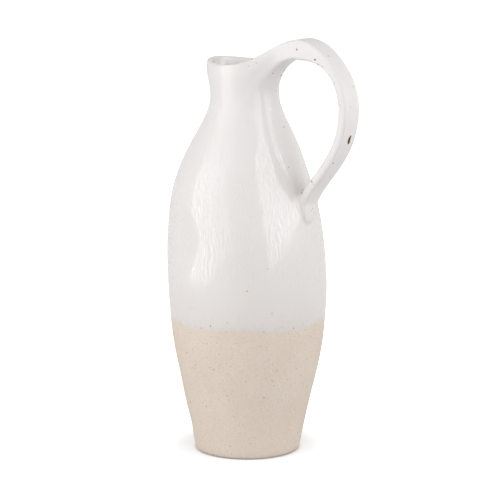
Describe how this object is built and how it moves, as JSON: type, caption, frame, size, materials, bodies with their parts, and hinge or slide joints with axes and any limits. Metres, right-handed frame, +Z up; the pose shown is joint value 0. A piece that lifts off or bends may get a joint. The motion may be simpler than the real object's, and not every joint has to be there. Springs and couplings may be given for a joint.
{
  "type": "stoneware jug",
  "caption": "Tall stoneware jug with a slim neck, a pulled pouring lip, a looped strap handle and a white glaze above a bare clay base.",
  "frame": {"origin": "centre of the flat foot, on the surface that the jug stands on", "axes": "+Z up along the vessel, +X towards the handle, -X towards the pouring lip"},
  "size_m": [0.1872, 0.143, 0.3794],
  "materials": {
    "bare_clay": "unglazed, fine grain, matt",
    "slip": "fired slip, matt",
    "white_glaze": "soft white gloss with a few iron specks"
  },
  "bodies": {
    "root": {"stoneware_body": "bare_clay", "strap_handle": "bare_clay", "upper_slip_joint": "slip", "lower_slip_joint": "slip", "outer_glaze": "white_glaze", "inner_glaze": "white_glaze", "handle_glaze": "white_glaze"}
  },
  "joints": []
}
